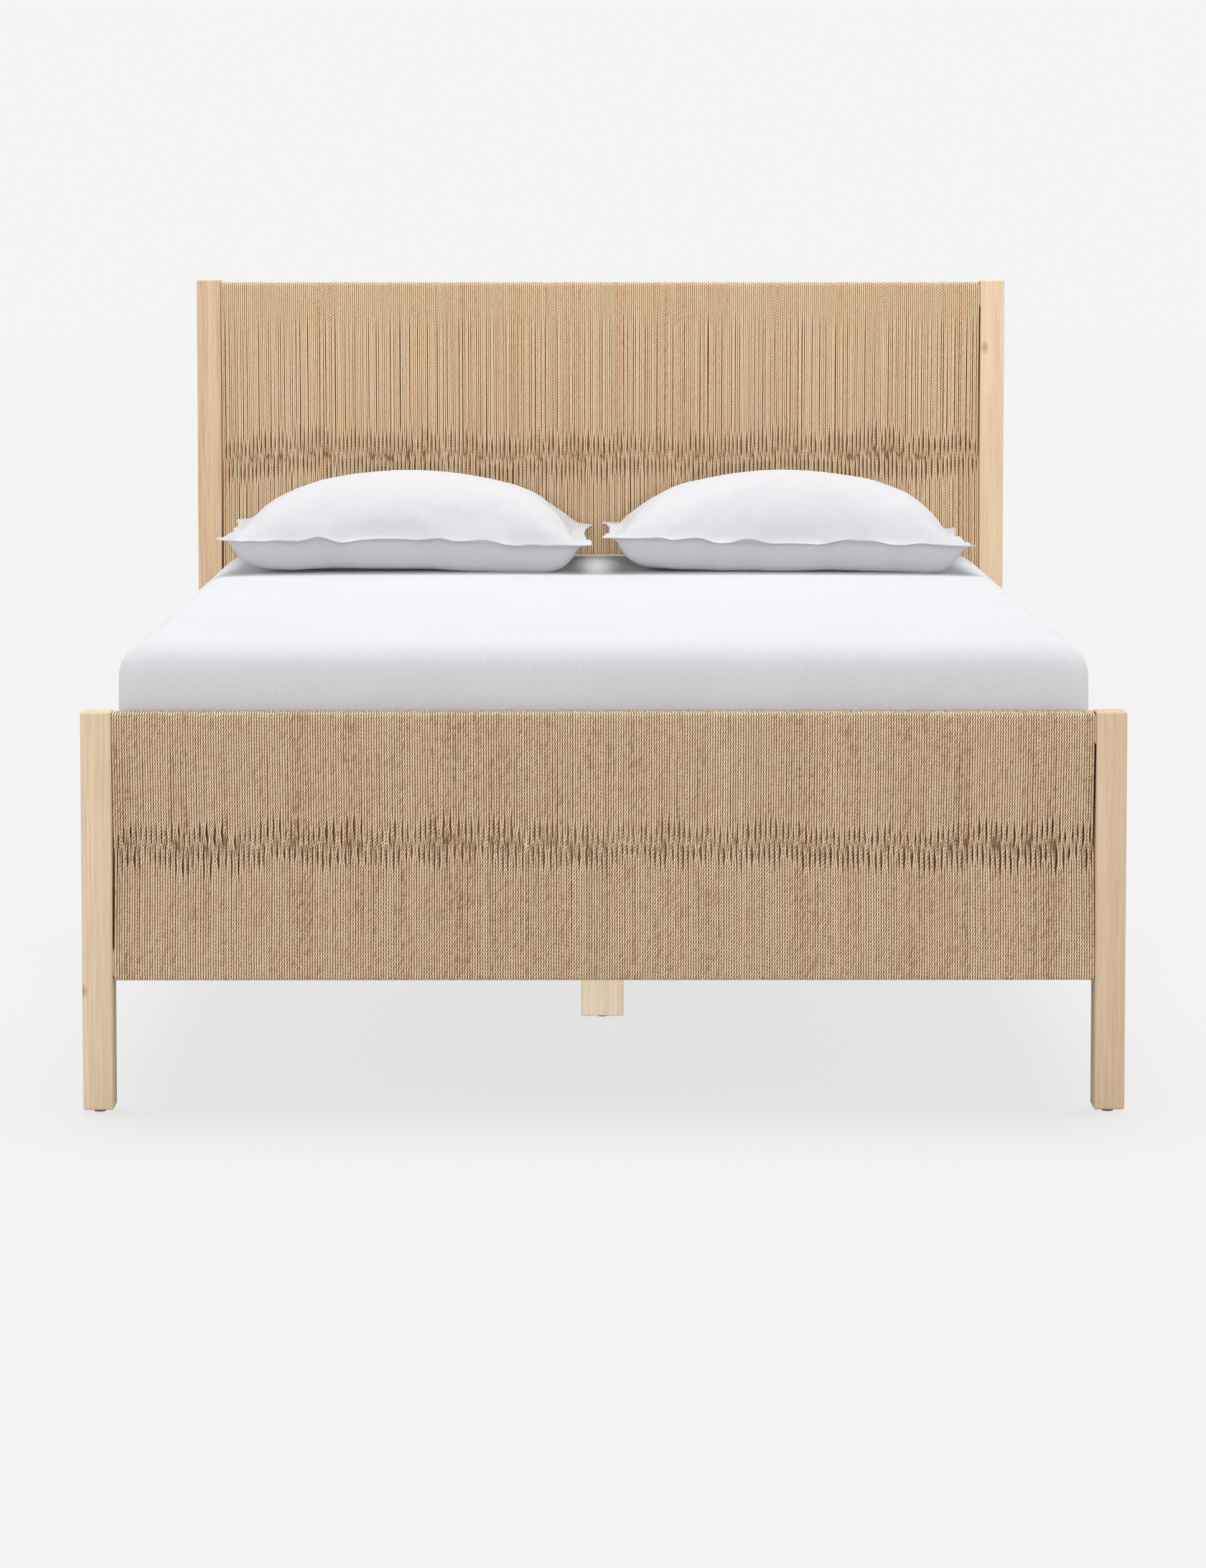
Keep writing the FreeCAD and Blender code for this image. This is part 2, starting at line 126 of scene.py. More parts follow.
# Pillows: the sewn sheets that give the folds, then the filled form. RIM and ROWS count rows of the mesh.
PILLOW_COLUMNS = 56
PILLOW_ROWS = 44
PILLOW_RIM = 2
PILLOW_CUT = (0.775, 0.610)
PILLOW_CREASE = 0.0012
PILLOW_START = 0.002
PILLOW_PRESSURE = 1.5
PILLOW_FRAMES = 30
PILLOW_EASE = 40
PILLOW_CLOTH = 0.0018
PILLOW_FLANGE = 0.025
PILLOW_DRAW = 0.014
PILLOW_PLUMP = 0.60
PILLOW_FLAT = (0.5, 0.24)
PILLOW_BLUNT = 4
PILLOW_FULL = 1.15
PILLOW_SAG = 0.0635
PILLOW_SINK = 0.012
PILLOW_FIRM = 8
PILLOW_CALM = 0.5
PILLOW_FOLDS = 0.45
PILLOW_FOLD_ROWS = 3
PILLOW_DROOP_ROWS = 8
PILLOW_WAVE = 0.003
PILLOW_WAVES = (9, 5)

FLOOR_REACH = 60.0


# Materials

class Tree:
    """A material's node tree, with short calls for the nodes that are used here."""

    def __init__(self, name):
        self.material = bpy.data.materials.new(name)
        self.material.use_nodes = True
        self.tree = self.material.node_tree
        self.shader = self.tree.nodes["Principled BSDF"]

    def add(self, kind, inputs=None, **settings):
        node = self.tree.nodes.new("ShaderNode" + kind)
        for key, value in settings.items():
            setattr(node, key, value)
        for key, value in (inputs or {}).items():
            self.put(node.inputs[key], value)
        return node

    def put(self, socket, value):
        """Links an output to a socket, or sets the socket's own value."""
        if isinstance(value, bpy.types.NodeSocket):
            self.tree.links.new(value, socket)
        else:
            socket.default_value = value

    def math(self, operation, first, second=0.0):
        return self.add("Math", {0: first, 1: second}, operation=operation).outputs[0]

    def place(self):
        return self.add("TexCoord").outputs["Object"]

    def scaled(self, vector, scale):
        return self.add("Mapping", {"Vector": vector, "Scale": scale}).outputs["Vector"]

    def noise(self, vector, scale, detail=3.0, roughness=0.5, distortion=0.0):
        names = ("Vector", "Scale", "Detail", "Roughness", "Distortion")
        inputs = dict(zip(names, (vector, scale, detail, roughness, distortion)))
        return self.add("TexNoise", inputs).outputs["Fac"]

    def ramp(self, value, stops):
        """Colours along a value: pairs of a place and a colour."""
        node = self.add("ValToRGB", {"Fac": value})
        elements = node.color_ramp.elements
        while len(elements) < len(stops):
            elements.new(0.5)
        for element, (place, colour) in zip(elements, stops):
            element.position = place
            element.color = (*colour, 1.0)
        return node.outputs["Color"]

    def fit(self, value, low, high, new_low=0.0, new_high=1.0):
        names = ("Value", "From Min", "From Max", "To Min", "To Max")
        inputs = dict(zip(names, (value, low, high, new_low, new_high)))
        return self.add("MapRange", inputs, clamp=True).outputs["Result"]

    def mix(self, factor, first, second):
        """Mix of two colours. A Mix node has its colours at inputs 6 and 7 and their mix at output 2."""
        node = self.add("Mix", data_type="RGBA", clamp_factor=True)
        for index, value in ((0, factor), (6, first), (7, second)):
            self.put(node.inputs[index], (*value, 1.0) if isinstance(value, tuple) else value)
        return node.outputs[2]

    def bump(self, height, strength, distance):
        inputs = {"Height": height, "Strength": strength, "Distance": distance}
        return self.add("Bump", inputs).outputs["Normal"]

    def finish(self, **sockets):
        for name, value in sockets.items():
            self.put(self.shader.inputs[name.replace("_", " ")], value)
        return self.material


def srgb(red, green, blue):
    """Linear colour from the 0 to 255 numbers of a picture."""
    found = []
    for part in (red, green, blue):
        part = part / 255
        found.append(part / 12.92 if part <= 0.04045 else ((part + 0.055) / 1.055) ** 2.4)
    return tuple(found)


def shaded(colour, share):
    return tuple(part * share for part in colour)


def cord_material(name, tones, groove_shade, inside_shade):
    """Twisted natural cord. The map's U counts cords and goes round each one, V goes along it.

    The two colours after the tones are painted shade: the first between cords and in the grooves
    between plies, the second on the sides of strands that look into the panel.
    """
    tree = Tree(name)
    uv = tree.add("UVMap", uv_map="OFBake").outputs["UV"]
    cords = tree.math("MULTIPLY", tree.add("SeparateXYZ", {"Vector": uv}).outputs["X"], CORDS_PER_MAP)
    along = tree.add("Attribute", attribute_name="along").outputs["Fac"]
    tone = tree.add("Attribute", attribute_name="tone").outputs["Fac"]
    facing = tree.add("Attribute", attribute_name="facing").outputs["Fac"]
    round_cord = tree.math("FRACT", cords)
    turns = tree.math("SUBTRACT", tree.math("MULTIPLY", round_cord, TWIST_PLIES), along)
    ply = tree.math("PINGPONG", tree.math("FRACT", turns), 0.5)
    ply = tree.math("MULTIPLY", ply, 2.0)
    number = {"X": tree.math("FLOOR", turns), "Y": tree.math("FLOOR", cords)}
    each = tree.add("CombineXYZ", number).outputs[0]
    speck = tree.add("TexWhiteNoise", {"Vector": each}, noise_dimensions="2D").outputs["Value"]
    place = tree.place()
    fibre = tree.noise(place, 900.0, 2.0)
    patchy = tree.noise(place, 14.0, 2.0)
    shade = tree.math("ADD", tone, tree.math("MULTIPLY", tree.math("SUBTRACT", speck, 0.5), 0.6))
    base = tree.ramp(shade, tuple(zip((0.0, 0.35, 0.65, 1.0), tones)))
    base = tree.mix(tree.fit(patchy, 0.35, 0.7, 0.0, 0.3), base, tones[2])
    # Painted shade: the colour darkens towards the groove colour at each cord's sides, where neighbours
    # touch, and in the grooves between plies
    angle = tree.math("MULTIPLY", round_cord, 2 * math.pi)
    sideways = tree.math("ABSOLUTE", tree.math("COSINE", angle))
    ply_groove_shade = tree.fit(ply, 0.16, 0.68, 0.95, 0.0)
    groove_shade_mask = tree.math("ADD", tree.fit(sideways, 0.4, 1.0, 0.0, 0.85), ply_groove_shade)
    colour = tree.mix(tree.fit(groove_shade_mask, 0.15, 0.95, 0.0, 0.97), base, groove_shade)
    # Painted shade: the sides of strands that look into the panel are darkened towards the inside colour
    colour = tree.mix(tree.fit(facing, -0.2, -0.75, 0.0, 0.9), colour, inside_shade)
    colour = tree.mix(tree.fit(fibre, 0.3, 0.7, 0.0, 0.15), colour, srgb(228, 203, 170))
    height = tree.math("ADD", tree.math("POWER", ply, 0.6), tree.math("MULTIPLY", fibre, 0.18))
    normal = tree.bump(height, 0.75, 0.0007)
    return tree.finish(Base_Color=colour, Roughness=0.8, Normal=normal, Specular_IOR_Level=0.2)


def wood_material(name, axis, tones, knots=(), staves=0.0):
    """Pale wood with its grain along an axis. tones are a light and a dark one.

    knots are centres of small knots with their radii, and staves the width of glued strips across X.
    """
    tree = Tree(name)
    place = tree.place()

    def streaks(across, along, detail):
        scale = [across] * 3
        scale[axis] = along
        return tree.noise(tree.scaled(place, scale), 1.0, detail, 0.55, 0.4)

    broad = streaks(46.0, 1.6, 3.0)
    fine = streaks(330.0, 7.0, 3.0)
    pores = streaks(1100.0, 42.0, 1.0)
    board = tree.noise(place, 0.9, 0.0)
    light, dark = tones
    colour = tree.mix(tree.fit(broad, 0.3, 0.7), light, dark)
    colour = tree.mix(tree.fit(fine, 0.42, 0.72, 0.0, 0.6), colour, shaded(dark, 0.72))
    colour = tree.mix(tree.fit(pores, 0.6, 0.7, 0.0, 0.35), colour, shaded(dark, 0.6))
    colour = tree.mix(tree.fit(board, 0.35, 0.65, 0.0, 0.35), colour, shaded(light, 1.06))
    if staves:
        across = tree.add("SeparateXYZ", {"Vector": place}).outputs["X"]
        strip = tree.math("FLOOR", tree.math("DIVIDE", across, staves))
        chance = tree.add("TexWhiteNoise", {"W": strip}, noise_dimensions="1D").outputs["Value"]
        colour = tree.mix(tree.fit(chance, 0.0, 1.0, 0.0, 0.5), colour, shaded(dark, 0.86))
    for centre, radius in knots:
        offset = tree.add("VectorMath", {0: place, 1: centre}, operation="SUBTRACT").outputs[0]
        stretch = [1.0 / radius] * 3
        stretch[axis] *= 0.6
        reach = tree.add("VectorMath", {0: tree.scaled(offset, stretch)}, operation="LENGTH").outputs["Value"]
        colour = tree.mix(tree.fit(reach, 0.2, 1.2, 0.75, 0.0), colour, srgb(158, 112, 70))
    height = tree.math("SUBTRACT", tree.math("MULTIPLY", fine, 0.5), tree.fit(pores, 0.6, 0.7, 0.0, 0.6))
    normal = tree.bump(height, 0.18, 0.0006)
    rough = tree.fit(fine, 0.2, 0.8, 0.48, 0.62)
    return tree.finish(Base_Color=colour, Roughness=rough, Normal=normal, Specular_IOR_Level=0.35)


def fabric_material(name, colour, period):
    """Plain white cloth with a fine crossed weave, whose lines run diagonally on every face."""
    tree = Tree(name)
    place = tree.place()
    parts = tree.add("SeparateXYZ", {"Vector": place}).outputs
    rising = tree.math("ADD", tree.math("ADD", parts["X"], parts["Y"]), parts["Z"])
    falling = tree.math("SUBTRACT", tree.math("SUBTRACT", parts["X"], parts["Y"]), parts["Z"])
    threads = []
    for line in (rising, falling):
        threads.append(tree.math("SINE", tree.math("MULTIPLY", line, 2 * math.pi / period)))
    weave = tree.math("MULTIPLY", *threads)
    slub = tree.noise(tree.scaled(place, (1.0, 1.0, 2.2)), 230.0, 3.0)
    cloud = tree.noise(place, 5.0, 2.0)
    shade = tree.fit(weave, -1.0, 1.0, 0.0, 0.25)
    shade = tree.math("ADD", shade, tree.fit(slub, 0.35, 0.65, 0.0, 0.55))
    shade = tree.math("ADD", shade, tree.fit(cloud, 0.3, 0.7, 0.0, 0.2))
    cloth = tree.mix(shade, shaded(colour, 1.04), shaded(colour, 0.93))
    height = tree.math("ADD", tree.math("MULTIPLY", weave, 0.5), slub)
    normal = tree.bump(height, 0.25, 0.0005)
    return tree.finish(
        Base_Color=cloth, Roughness=0.9, Normal=normal, Specular_IOR_Level=0.15,
        Sheen_Weight=0.12, Sheen_Roughness=0.5,
    )


def metal_material(name, colour, roughness):
    """Plated metal with cloudy reflections and fine scuffs."""
    tree = Tree(name)
    place = tree.place()
    cloud = tree.noise(place, 55.0, 3.0)
    scuffs = tree.noise(tree.scaled(place, (90.0, 900.0, 900.0)), 1.0, 2.0)
    shade = tree.mix(tree.fit(cloud, 0.3, 0.7, 0.0, 0.5), colour, shaded(colour, 0.8))
    rough = tree.fit(cloud, 0.3, 0.7, roughness - 0.06, roughness + 0.08)
    rough = tree.math("ADD", rough, tree.fit(scuffs, 0.55, 0.8, 0.0, 0.12))
    normal = tree.bump(scuffs, 0.08, 0.0003)
    return tree.finish(Base_Color=shade, Metallic=1.0, Roughness=rough, Normal=normal)


def plastic_material(name, colour):
    """Dark moulded plastic with a fine matt grain and paler rubbed patches."""
    tree = Tree(name)
    place = tree.place()
    grain = tree.noise(place, 1600.0, 2.0)
    rubbed = tree.noise(place, 120.0, 3.0)
    shade = tree.mix(tree.fit(rubbed, 0.5, 0.75, 0.0, 0.5), colour, shaded(colour, 1.5))
    rough = tree.fit(rubbed, 0.3, 0.7, 0.5, 0.65)
    return tree.finish(Base_Color=shade, Roughness=rough, Normal=tree.bump(grain, 0.2, 0.0003))


# Meshes

def mesh_object(name, points, faces):
    """Smooth object from arrays: points by three, and faces that all have the same number of corners."""
    mesh = bpy.data.meshes.new(name)
    corners = faces.shape[1]
    mesh.vertices.add(len(points))
    mesh.vertices.foreach_set("co", points.astype(np.float32).ravel())
    mesh.loops.add(faces.size)
    mesh.loops.foreach_set("vertex_index", faces.astype(np.int32).ravel())
    mesh.polygons.add(len(faces))
    mesh.polygons.foreach_set("loop_start", np.arange(0, faces.size, corners, dtype=np.int32))
    mesh.polygons.foreach_set("use_smooth", np.full(len(faces), True))
    mesh.update(calc_edges=True)
    made = bpy.data.objects.new(name, mesh)
    bpy.context.scene.collection.objects.link(made)
    return made


def smooth_noise(rng, shape, reach):
    """Random numbers, blurred over a reach along the last axis, of about unit size."""
    weights = np.exp(-0.5 * (np.arange(-3 * reach, 3 * reach + 1) / reach) ** 2)
    weights /= np.sqrt((weights ** 2).sum())
    shape = np.atleast_1d(shape)
    rows = rng.normal(size=(*shape[:-1], shape[-1] + 6 * reach))
    return np.apply_along_axis(np.convolve, -1, rows, weights, mode="valid")


def smooth_step(value):
    value = np.clip(value, 0, 1)
    return value * value * (3 - 2 * value)


def strand_heights(bottom, top):
    """Heights down one strand, closer where it turns and where it crosses, and its depths on the rails."""
    high = top - CORD_RADIUS
    middle, edge = (top + bottom) / 2, top - RAIL_REACH
    turns = np.linspace(0, math.pi / 2, 5)
    depths = np.concatenate([
        np.linspace(0, CORD_CORNER - CORD_DEPTH, 3)[:-1],
        CORD_CORNER - CORD_DEPTH - CORD_CORNER * np.sin(turns),
    ])
    heights = np.concatenate([np.full(2, high), high - CORD_CORNER * (1 - np.cos(turns))])
    steps = max(3, round((edge - middle - WAIST_NEAR) / CORD_STEP))
    heights = np.concatenate([
        heights,
        np.linspace(high - CORD_CORNER, edge, 4)[1:],
        np.linspace(edge, middle + WAIST_NEAR, steps + 1)[1:],
        np.linspace(middle + WAIST_NEAR, middle + WAIST_CLOSE, 6)[1:],
        np.linspace(middle + WAIST_CLOSE, middle, 8)[1:],
    ])
    depths = np.concatenate([depths, np.full(len(heights) - len(depths), -CORD_DEPTH)])
    heights = np.concatenate([heights, top + bottom - heights[-2::-1]])
    return heights, np.concatenate([depths, -depths[-2::-1]])


def bunches(rng, count):
    """Limits of bunches of two or three turns, for the strands that start at the top and at the bottom.

    The second kind pass between the first, so their limits are half way along.
    """
    sizes = []
    while sum(sizes) < count:
        sizes.append(int(rng.choice(BUNCH_SIZES)))
    limits = np.minimum(np.concatenate(([0], np.cumsum(sizes))), count)
    between = np.unique(np.concatenate(([0], (limits[1:] + limits[:-1]) // 2, [count])))
    return limits, between


def strand_lines(rng, end, limits, gather, uneven, count, pitch, bunch_limits, from_top):
    """Points of one strand of every turn, from the middle of one rail's far side to the other's."""
    bottom, top = limits
    heights, depths = strand_heights(bottom, top)
    if not from_top:
        heights = top + bottom - heights
    middle, run = (top + bottom) / 2, (top - bottom) / 2 - RAIL_REACH
    sizes = np.diff(bunch_limits)
    bunch = np.repeat(np.arange(len(sizes)), sizes)
    member = np.arange(count) - bunch_limits[bunch]
    size = sizes[bunch]
    natural = CORD_RADIUS - PANEL_HALF_WIDTH + pitch * (np.arange(count) + (0 if from_top else 0.5))
    centre = np.bincount(bunch, natural)[bunch] / size

    # The waist wanders, and each bunch draws together at its own distance from it
    drift = WAIST_DRIFT * smooth_noise(rng, len(sizes), WAIST_DRIFT_REACH)
    drift += WAIST_STRAY * np.clip(rng.normal(size=len(sizes)), -2, 2)
    waist = middle + drift[bunch]
    reach = rng.uniform(*gather, size=len(sizes))[bunch]
    away = np.abs(heights[None] - waist[:, None])
    drawn = smooth_step((reach[:, None] - away) / (GATHER_RUN * reach[:, None]))
    signed = (heights[None] - waist[:, None]) * (1 if from_top else -1)
    ends = np.where(signed > 0, *CROSSING)
    crossing = smooth_step((ends - away) / (ends - CROSSING_CORE))
    gap_share = rng.uniform(*GATHER_SHARE, size=len(sizes))[bunch]
    opening = gap_share[:, None] * np.where(signed > 0, 1, FAR_SHARE)
    closer = centre[:, None] + (natural - centre)[:, None] * (1 - opening)
    tight = centre + (member - (size - 1) / 2) * CORD_CLOSEST
    x = natural[:, None] + drawn * (closer - natural[:, None]) + crossing * (tight[:, None] - closer)
    stray = np.clip(rng.normal(size=count), -STRAY_LIMIT, STRAY_LIMIT)[:, None]
    stray = stray + STRAY_WANDER * smooth_noise(rng, (count, len(heights)), STRAY_REACH)
    stray[[0, -1]] = 0
    loose = smooth_step((run - np.abs(heights - middle)) / (LOOSE_RUN * run))
    loose = loose * np.where(signed > 0, 1, FAR_SHARE)
    x += uneven * stray * loose * (1 - drawn)

    # Depth: straight from the rail towards the waist, and through it between the other strands
    slope = WAIST_DEPTH + (CORD_DEPTH - WAIST_DEPTH) * np.minimum(away / run, 1)
    sloping = -slope * np.clip(signed / WAIST_PASS, -1, 1)
    on_rail = np.abs(heights - middle) > run
    depth = np.where(on_rail[None], depths[None], sloping)
    proud = np.clip(CORD_PROUD * rng.normal(size=count), -CORD_PROUD_LIMIT, CORD_PROUD_LIMIT)
    depth = depth * (1 + proud / CORD_DEPTH)[:, None]
    depth += drawn * (np.where(member % 2, 1, -1) * BUNCH_STAGGER)[:, None]
    rise = np.clip(CORD_RISE * rng.normal(size=count), *CORD_RISE_LIMITS)
    height = heights[None] + rise[:, None] * np.clip(1 - (top - heights[None]) / CORD_RISE_REACH, 0, 1)
    lines = np.stack([x, end * PANEL_PLACE + depth, height], axis=2)

    # Behind the rails a strand goes across to where the next one begins
    shift = pitch / 4 * np.array([1, 0.5])
    lines[:, :2, 0] -= shift
    lines[:, -2:, 0] += shift[::-1]
    return lines


def tube(name, line, outward, radius, along, tone, rings):
    """Tube along a line, with the twist's run, the tone, how far each point looks out of the panel
    and a map that counts the turns across.
    """
    tangent = np.gradient(line, axis=0)
    tangent /= np.linalg.norm(tangent, axis=1)[:, None]
    side = np.array([1.0, 0, 0]) - tangent * tangent[:, :1]
    side /= np.linalg.norm(side, axis=1)[:, None]
    out = np.cross(tangent, side)
    angles = 2 * math.pi * np.arange(CORD_SIDES) / CORD_SIDES
    ring = np.cos(angles)[None, :, None] * side[:, None] + np.sin(angles)[None, :, None] * out[:, None]
    shell = line[:, None] + radius[:, None, None] * ring
    row, column = np.meshgrid(np.arange(len(line) - 1), np.arange(CORD_SIDES), indexing="ij")
    following = (column + 1) % CORD_SIDES
    corners = ((row, column), (row, following), (row + 1, following), (row + 1, column))
    faces = np.stack([r * CORD_SIDES + c for r, c in corners], axis=2).reshape(-1, 4)
    made = mesh_object(name, shell.reshape(-1, 3), faces)
    facing = (ring * outward[:, None]).sum(axis=2).ravel()
    rows = {"along": np.repeat(along, CORD_SIDES), "tone": np.repeat(tone, CORD_SIDES), "facing": facing}
    for label, values in rows.items():
        attribute = made.data.attributes.new(label, "FLOAT", "POINT")
        attribute.data.foreach_set("value", values.astype(np.float32))
    turn, place = row // rings, (row % rings) / rings
    low, high = ((turn + (column + step) / CORD_SIDES) / CORDS_PER_MAP for step in (0, 1))
    ahead = place + 1 / rings
    pairs = ((low, place), (high, place), (high, ahead), (low, ahead))
    uv = np.stack([np.stack(pair, axis=2) for pair in pairs], axis=2)
    made.data.uv_layers.new(name="OFBake").uv.foreach_set("vector", uv.astype(np.float32).ravel())
    return made


def corded_panel(name, node, end, limits, gather, uneven, paleness, streaks, seed, material):
    """Cord wound in figures of eight round a panel's two rails, in a few pieces of many turns each.

    limits are the panel's bottom and top, gather the reach of the bunches from the waist, uneven how far
    strands stray, and paleness and streaks the mean of the cord's tone and how much it differs.
    """
    rng = np.random.default_rng(seed)
    count = round(2 * PANEL_HALF_WIDTH / CORD_PITCH)
    pitch = (2 * PANEL_HALF_WIDTH - 2 * CORD_RADIUS) / (count - 0.5)
    strands = []
    for bunch_limits, from_top in zip(bunches(rng, count), (True, False)):
        strands.append(strand_lines(rng, end, limits, gather, uneven, count, pitch, bunch_limits, from_top))
    lines = np.concatenate(strands, axis=1)
    rings = lines.shape[1]
    outward = lines * 0
    outward[..., 1] = lines[..., 1] - end * PANEL_PLACE
    outward[..., 2] = lines[..., 2] - np.clip(lines[..., 2], limits[0] + RAIL_REACH, limits[1] - RAIL_REACH)
    outward /= np.maximum(np.linalg.norm(outward, axis=2), WAIST_DEPTH)[..., None]
    strand_tone = np.repeat(rng.normal(size=(count, 2)), rings // 2, axis=1)
    bands = TONE_BANDS * smooth_noise(rng, count, TONE_BAND_REACH)[:, None]
    tone = bands + TONE_TURNS * rng.normal(size=count)[:, None] + TONE_STRANDS * strand_tone
    tone = paleness + streaks * tone
    tone = np.clip(tone + TONE_ALONG * smooth_noise(rng, (count, rings), TONE_ALONG_REACH), 0, 1)
    radius = CORD_RADIUS * (1 + CORD_RADIUS_SPREAD * np.clip(rng.normal(size=count), -2, 2))
    for part, turns in enumerate(np.array_split(np.arange(count), PIECES_PER_PANEL)):
        line = lines[turns].reshape(-1, 3)
        steps = np.linalg.norm(np.diff(line, axis=0), axis=1)
        along = np.concatenate(([0], np.cumsum(steps))) / TWIST_STEP
        label = "%s_%d" % (name, part + 1)
        thick = np.repeat(radius[turns], rings)
        piece = tube(label, line, outward[turns].reshape(-1, 3), thick, along, tone[turns].ravel(), rings)
        piece.data.materials.append(material)
        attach(piece, "frame")
        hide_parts(node)


# Soft pieces

def box_surface(counts):
    """Whole-number points on a box's surface and its square faces, which look outwards."""
    quads = []
    for axis in range(3):
        first, second = (axis + 1) % 3, (axis + 2) % 3
        u, v = np.meshgrid(np.arange(counts[first]), np.arange(counts[second]), indexing="ij")
        for side in (0, 1):
            corners = []
            for du, dv in ((0, 0), (1, 0), (1, 1), (0, 1))[::1 if side else -1]:
                corner = np.zeros((*u.shape, 3), int)
                corner[..., axis] = side * counts[axis]
                corner[..., first] = u + du
                corner[..., second] = v + dv
                corners.append(corner.reshape(-1, 3))
            quads.append(np.stack(corners, axis=1))
    points, index = np.unique(np.concatenate(quads).reshape(-1, 3), axis=0, return_inverse=True)
    return points, index.reshape(-1, 4)


def mesh_points(mesh):
    found = np.empty(3 * len(mesh.vertices), np.float32)
    mesh.vertices.foreach_get("co", found)
    return found.reshape(-1, 3).astype(float)


def blown_up(piece, pressure, frames, filled=None):
    """Points of a piece after a cloth simulation with pressure inside and no weight.

    filled holds the points that the pressure works on, if not all.
    """
    scene = bpy.context.scene
    cloth = piece.modifiers.new("cloth", "CLOTH")
    cloth.settings.quality = 6
    cloth.settings.mass = 0.3
    cloth.settings.tension_stiffness = 30
    cloth.settings.compression_stiffness = 30
    cloth.settings.shear_stiffness = 12
    cloth.settings.bending_stiffness = 0.6
    cloth.settings.use_pressure = True
    cloth.settings.uniform_pressure_force = pressure
    cloth.settings.effector_weights.gravity = 0
    cloth.collision_settings.use_collision = False
    cloth.collision_settings.use_self_collision = False
    if filled is not None:
        piece.vertex_groups.new(name="filled").add([int(index) for index in filled], 1.0, "REPLACE")
        cloth.settings.vertex_group_pressure = "filled"
    cloth.point_cache.frame_start = 1
    cloth.point_cache.frame_end = frames
    for step in range(1, frames + 1):
        scene.frame_set(step)
    found = mesh_points(piece.evaluated_get(bpy.context.evaluated_depsgraph_get()).data)
    piece.modifiers.remove(cloth)
    scene.frame_set(1)
    return found


def smoothed(piece):
    smoother = piece.modifiers.new("smoother", "SUBSURF")
    smoother.levels = smoother.render_levels = 1


def mattress(material):
    """Soft cover of the mattress, which swells a little and bulges above the rails."""
    low, high = (np.array(corner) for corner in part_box("mattress"))
    half = (high - low) / 2 - MATTRESS_SWELL
    counts = np.round(2 * half / MATTRESS_STEP).astype(int)
    points, faces = box_surface(counts)
    points = (2 * points / counts - 1) * half
    radius = MATTRESS_ROUND * (MATTRESS_ROUND_MEAN + MATTRESS_ROUND_RISE * points[:, 2:] / half[2])
    core = np.clip(points, radius - half, half - radius)
    out = points - core
    points = core + radius * out / np.maximum(np.linalg.norm(out, axis=1), 1e-9)[:, None]
    piece = mesh_object("mattress_cover", points, faces)
    moved = np.zeros_like(points)
    moved = blown_up(piece, MATTRESS_PRESSURE, MATTRESS_FRAMES) - points
    most = np.linalg.norm(moved, axis=1).max()
    placed = points + moved * MATTRESS_SWELL / max(most, MATTRESS_SWELL)
    placed[:, 2] = np.maximum(placed[:, 2], -half[2])

    # Brought to the solid's box, and let out above the rails
    least, most = placed.min(axis=0), placed.max(axis=0)
    share = (placed - least) / (most - least)
    flat = smooth_step((share[:, 2] - MATTRESS_FLAT) / (1 - MATTRESS_FLAT))
    share[:, 2] += MATTRESS_LEVEL * flat * (1 - share[:, 2])
    placed = low + share * (high - low)
    bulge = MATTRESS_BULGE * smooth_step((placed[:, 2] - low[2]) / MATTRESS_TUCK)
    placed[:, :2] += (2 * share[:, :2] - 1) * bulge[:, None]
    piece.data.vertices.foreach_set("co", placed.astype(np.float32).ravel())
    piece.data.update()
    piece.data.materials.append(material)
    smoothed(piece)
    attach(piece, "mattress")
    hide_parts("mattress")
    return piece


def pillow_sheets(columns, rows, rim):
    """Point numbers of a pillow's two sheets, which share their points from the seam outwards."""
    top = np.arange((columns + 1) * (rows + 1)).reshape(columns + 1, rows + 1)
    under = top.copy()
    inner = under[rim + 1:-rim - 1, rim + 1:-rim - 1]
    inner[...] = top.size + np.arange(inner.size).reshape(inner.shape)
    return top, under


def grid_faces(index, flipped=False):
    corners = [index[:-1, :-1], index[1:, :-1], index[1:, 1:], index[:-1, 1:]]
    return np.stack(corners[::-1] if flipped else corners, axis=2).reshape(-1, 4)


def filled_pillow(name, seed):
    """Points of a pillow's upper and lower sheet, blown up from flat, and each point's rows from the edge."""
    rng = np.random.default_rng(seed)
    top, under = pillow_sheets(PILLOW_COLUMNS, PILLOW_ROWS, PILLOW_RIM)
    i, j = np.indices(top.shape)
    edge = np.minimum(np.minimum(i, PILLOW_COLUMNS - i), np.minimum(j, PILLOW_ROWS - j))
    body = edge > PILLOW_RIM
    points = np.zeros((under.max() + 1, 3))
    flat = np.stack([i / PILLOW_COLUMNS - 0.5, j / PILLOW_ROWS - 0.5, rng.normal(size=top.shape)], axis=2)
    flat *= (*PILLOW_CUT, PILLOW_CREASE)
    points[top] = flat
    points[under[body]] = flat[body] - (0, 0, PILLOW_START)
    points[top[body]] += (0, 0, PILLOW_START)
    inside = slice(PILLOW_RIM, -PILLOW_RIM)
    faces = np.concatenate([grid_faces(top), grid_faces(under[inside, inside], True)])
    sewn = mesh_object(name + "_sewn", points, faces)
    points = blown_up(sewn, PILLOW_PRESSURE, PILLOW_FRAMES, np.concatenate([top[body], under[body]]))
    bpy.data.objects.remove(sewn)
    return points[top], points[under], edge


